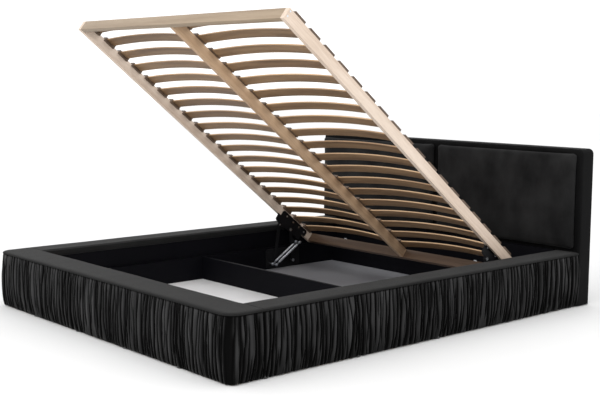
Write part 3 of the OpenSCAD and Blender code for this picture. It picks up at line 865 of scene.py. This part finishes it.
def inflate(piece):
    """Fills the cloth with air for a moment, then limits how far it swelled."""
    start = np.array([v.co for v in piece.data.vertices])
    cloth = piece.modifiers.new("cloth", "CLOTH")
    cloth.settings.use_pressure = True
    cloth.settings.uniform_pressure_force = CLOTH_PRESSURE
    cloth.settings.effector_weights.gravity = 0
    cloth.settings.quality = 5
    cloth.settings.mass = 0.3
    cloth.settings.tension_stiffness = 12
    cloth.settings.compression_stiffness = 12
    cloth.settings.shear_stiffness = 6
    cloth.settings.bending_stiffness = 0.4
    scene = bpy.context.scene
    for step in range(1, CLOTH_FRAMES + 1):
        scene.frame_set(step)
    apply_modifiers(piece)
    scene.frame_set(1)
    moved = np.array([v.co for v in piece.data.vertices]) - start
    far = np.linalg.norm(moved, axis=1)
    far = np.maximum(far, 1e-9)
    share = np.tanh(far / CUSHION_CAP) * CUSHION_CAP / far
    piece.data.vertices.foreach_set("co", (start + moved * share[:, None]).ravel())


def cushion_wrinkles(piece, low, high, seed):
    """Drag lines across the middle, folds at the foot, creased ends, a broad unevenness."""
    co = np.array([v.co for v in piece.data.vertices])
    x, y, z = co.T
    facing = np.clip((SHELL_FACE_Y - 14 * MM - y) / (20 * MM), 0, 1)
    u = (x - low.x) / (high.x - low.x)
    v = (z - low.z) / (high.z - low.z)
    lines = 1.5 * MM * smooth_noise(x, z, 0.34, 0.042, seed)
    lines = lines * np.exp(-((v - 0.55) / 0.32) ** 2)
    upright = 1.2 * MM * smooth_noise(x, z, 0.03, 0.24, seed + 1)
    upright = upright * np.exp(-(v / 0.3) ** 2)
    corners = 1.6 * MM * smooth_noise(x + z, x - z, 0.03, 0.2, seed + 2)
    corners = corners * np.clip(np.abs(u - 0.5) * 2 - 0.72, 0, 1) * 3
    broad = 2.0 * MM * smooth_noise(x, z, 0.26, 0.2, seed + 3)
    y = y + (lines + upright + corners + broad) * facing
    y = np.minimum(y, SHELL_FACE_Y - 1.6 * MM)
    piece.data.vertices.foreach_set("co", np.stack([x, y, z], axis=1).ravel())


def headboard_cushion(side):
    hand = "right" if side > 0 else "left"
    node = "headboard_cushion_" + hand
    low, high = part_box(node)
    inset = Vector((4 * MM, CUSHION_SHRINK, 4 * MM))
    outer = Vector((4 * MM, 1.5 * MM, -2 * MM))
    mesh = cushion_block(low + inset, high - outer)
    piece = bpy.data.objects.new("cushion_" + hand, mesh)
    bpy.context.scene.collection.objects.link(piece)
    remesh = piece.modifiers.new("remesh", "REMESH")
    remesh.mode = "VOXEL"
    remesh.voxel_size = CUSHION_VOXEL
    apply_modifiers(piece)
    inflate(piece)
    cushion_wrinkles(piece, low, high, SEED + (40 if side > 0 else 60))
    smooth = piece.modifiers.new("smooth", "SMOOTH")
    smooth.iterations = 3
    divide = piece.modifiers.new("divide", "SUBSURF")
    divide.levels = divide.render_levels = 1
    apply_modifiers(piece)
    mesh = piece.data.copy()
    name = piece.name
    bpy.data.objects.remove(piece)
    piece = finish_piece(name, mesh, HEADBOARD, "base", [node],
                         sharp=80)


# ---------------------------------------------------------------- slats
SLAT_OUT_X = 795 * MM
SLAT_IN_X = 4 * MM
SLAT_FLAT = 36 * MM
SLAT_BASE = RAIL_DEPTH + 2.3 * MM
SLAT_BOW = 22 * MM
SLAT_THICK = 8 * MM
SLAT_WIDTH = 53 * MM
SLAT_HEAD = 51 * MM
SLAT_PITCH = 103 * MM
SLAT_COUNT = 19
SLAT_EASE = 2.4 * MM
SLAT_STATIONS = 61


def slat_section():
    """A slat's cut: points (across, up) with rounded edges, from its middle."""
    r, steps = SLAT_EASE, 4
    side, top = SLAT_WIDTH / 2 - r, SLAT_THICK - r
    corners = [(side, top, 0), (-side, top, 90), (-side, r, 180), (side, r, 270)]
    return [(c[0] + r * math.cos(math.radians(c[2] + 90 * k / steps)),
             c[1] + r * math.sin(math.radians(c[2] + 90 * k / steps)))
            for c in corners for k in range(steps + 1)]


def slat_bank(side):
    name = "right" if side > 0 else "left"
    section = slat_section()
    ring = len(section)
    middle = (SLAT_IN_X + SLAT_OUT_X) / 2
    reach = (SLAT_OUT_X - SLAT_IN_X) / 2 - SLAT_FLAT
    xs = np.linspace(SLAT_IN_X, SLAT_OUT_X, SLAT_STATIONS)
    rise = SLAT_BOW * np.clip(1 - ((xs - middle) / reach) ** 2, 0, None)
    slope = np.gradient(rise, xs)
    rng = np.random.default_rng(SEED + 80 + (side > 0))
    verts, faces, tones, plies = [], [], [], []
    for i in range(SLAT_COUNT):
        start = len(verts)
        y0 = -SLAT_HEAD - SLAT_PITCH * i - SLAT_WIDTH / 2
        tone = rng.uniform(0.25, 1)
        for x, h, k in zip(xs, rise, slope):
            for across, up in section:
                verts.append(((x - k * (up - SLAT_THICK / 2)) * side, y0 + across,
                              SLAT_BASE + h + up))
                tones.append(tone)
                plies.append(up / SLAT_THICK)
        faces += grid_faces(len(xs), ring, wrap_columns=True, start=start)
        faces += ring_ends(len(xs), ring, start)
    piece = new_piece("sprung_slats_" + name, verts, faces, SLAT_WOOD, "slat_frame",
                      ["slats_" + name], place=TILT, sharp=50)
    for attribute, values in (("tone", tones), ("ply", plies)):
        made = piece.data.attributes.new(attribute, "FLOAT", "POINT")
        made.data.foreach_set("value", values)


# ---------------------------------------------------------------- springs
COIL_TURNS = 52
WIRE_R = 1.35 * MM
COIL_OUT_R = 7.5 * MM
COIL_STEPS = 14
HOOK = 26 * MM
SPRING_PINS = ((477, 57), (660, 172))
SPRING_XS = (722, 755)


def spring_coils(side):
    """Two wound springs on one side, which stretch between their hooks."""
    name = "right" if side > 0 else "left"
    a = Vector((0, SPRING_PINS[0][0] * MM, SPRING_PINS[0][1] * MM))
    b = Vector((0, SPRING_PINS[1][0] * MM, SPRING_PINS[1][1] * MM))
    along = (b - a).normalized()
    up = Vector((1, 0, 0)).cross(along)
    coil_r = COIL_OUT_R - WIRE_R
    length = (b - a).length - 2 * HOOK
    steps, sides = COIL_TURNS * COIL_STEPS, 6
    verts, faces = [], []
    for x in SPRING_XS:
        start = len(verts)
        for i in range(steps + 1):
            t = i / steps
            angle = 2 * math.pi * COIL_TURNS * t
            narrow = min(1, min(t, 1 - t) * 30)
            r = coil_r * (0.35 + 0.65 * narrow)
            out = Vector((1, 0, 0)) * math.cos(angle) + up * math.sin(angle)
            centre = a + along * (HOOK - 3 * MM + (length + 6 * MM) * t) + out * r
            centre.x += x * MM
            for k in range(sides):
                turn = 2 * math.pi * k / sides
                point = centre + out * WIRE_R * math.cos(turn) + along * WIRE_R * math.sin(turn)
                verts.append((point.x * side, point.y, point.z))
        faces += grid_faces(steps + 1, sides, wrap_columns=True, start=start)
        faces += ring_ends(steps + 1, sides, start)
    piece = new_piece("wound_springs_" + name, verts, faces, ZINC, None,
                      ["spring_coils_" + name], sharp=80, ride=False)
    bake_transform(piece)


# ---------------------------------------------------------------- hard parts
def body_of_node(node):
    bodies = frame["record"]["behaviour"]["bodies"]
    return next(name for name, nodes in bodies.items() if node in nodes)


def hard_parts():
    """Rails, caps and lift plates with eased edges, and a material on every CAD part."""
    # The centre, foot and head rails take the birch copies with painted shade.
    rails = {"frame_rail_left": RAIL_SIDE, "frame_rail_right": RAIL_SIDE,
             "frame_rail_centre": RAIL_CENTRE_PAINTED_SHADE, "frame_rail_foot": RAIL_FOOT_PAINTED_SHADE,
             "frame_rail_head": RAIL_HEAD_PAINTED_SHADE}
    for node, material in rails.items():
        eased(node, material, "slat_frame", 1.6 * MM, TILT)
    for node in ("slat_caps_left", "slat_caps_right", "slat_caps_centre"):
        eased(node, CAP_PLASTIC, "slat_frame", 0.9 * MM, TILT)
    for part in ("base_plate", "front_link", "rear_link", "lift_bracket"):
        for name in ("left", "right"):
            node = f"{part}_{name}"
            eased(node, POWDER, body_of_node(node), 0.5 * MM)
    kept = {
        BLACK_BOARD: ["side_inner_board_left", "side_inner_board_right",
                      "foot_inner_board", "head_wall_panel", "ledge_board_left",
                      "ledge_board_right", "ledge_board_foot", "ledge_board_head",
                      "divider"],
        WHITE_BOARD: ["floor_panel_foot"],
        # The head floor panel takes the white board with painted shade.
        WHITE_BOARD_PAINTED_SHADE: ["floor_panel_head"],
        CHIPBOARD: ["side_outer_board_left", "side_outer_board_right",
                    "foot_outer_board", "rail_spacers", "rail_top_boards",
                    "headboard_front_board", "headboard_posts"],
        FELT: ["feet"],
        POWDER: ["corner_brackets", "base_plate_screws"],
        ZINC: ["corner_bolts", "base_pivot_pins", "front_link_pins", "rear_link_rivets",
               "spring_hooks", "spring_yokes", "bracket_bolts", "frame_screws",
               "stop_pins"],
    }
    for material, nodes in kept.items():
        for node in nodes:
            slots = frame["nodes"][node].data.materials
            slots.clear()
            slots.append(material)


# ---------------------------------------------------------------- making
make_camera()
make_studio()

GATHERED = velvet("velvet_gathered", (0.011, 0.011, 0.0113), (0.02, 0.02, 0.0203), 0.1,
                  (1, 1, 0.5), folded=True)
BAND = velvet("velvet_band", (0.0105, 0.0105, 0.0105), (0.0155, 0.0155, 0.0155), 0.07,
              (1, 1, 1))
HEADBOARD = velvet("velvet_headboard", (0.008, 0.008, 0.0083), (0.021, 0.021, 0.0213), 0.04,
                   (1.2, 1, 0.8))
# The headboard velvet darkened with painted shade, for the shell's edges, back and piping.
SHELL_VELVET_PAINTED_SHADE = velvet("velvet_shell_painted_shade", (0.0032, 0.0032, 0.0034), (0.0062, 0.0062, 0.0064), 0.02,
                   (1.2, 1, 0.8))
BLACK_BOARD = painted_board("black_melamine", (0.0022, 0.0022, 0.0034),
                            (0.0036, 0.0036, 0.0052), (0.5, 0.62), 0.06)
WHITE_BOARD = painted_board("white_melamine", (0.74, 0.74, 0.75), (0.8, 0.8, 0.81),
                            (0.35, 0.48), 0.4)
# The white melamine darkened with painted shade, for the head floor panel.
WHITE_BOARD_PAINTED_SHADE = painted_board("white_melamine_painted_shade", (0.19, 0.19, 0.205), (0.25, 0.25, 0.265),
                           (0.25, 0.4), 0.5)
CHIPBOARD = chipboard()
# One birch for all rails: the side rails carry it plain, and the centre, foot and head rails
# darker copies of it with painted shade.
RAIL_SIDE = wood("rail_birch_side", (0.6, 0.47, 0.37), (0.74, 0.62, 0.52), 1)
RAIL_CENTRE_PAINTED_SHADE = wood("rail_birch_centre_painted_shade", (0.4, 0.25, 0.145), (0.56, 0.39, 0.25), 1)
RAIL_FOOT_PAINTED_SHADE = wood("rail_birch_foot_painted_shade", (0.26, 0.19, 0.125), (0.35, 0.27, 0.19), 0)
RAIL_HEAD_PAINTED_SHADE = wood("rail_birch_head_painted_shade", (0.065, 0.037, 0.021), (0.11, 0.066, 0.04), 0)
SLAT_WOOD = wood("slat_beech", (0.19, 0.118, 0.066), (0.36, 0.248, 0.152), 0, slats=True)
POWDER = powder_coat()
ZINC = zinc()
CAP_PLASTIC = moulded_plastic()
FELT = felt()

make_covers()
make_bands()
make_shell()
headboard_cushion(1)
headboard_cushion(-1)
slat_bank(1)
slat_bank(-1)
spring_coils(1)
spring_coils(-1)
hard_parts()
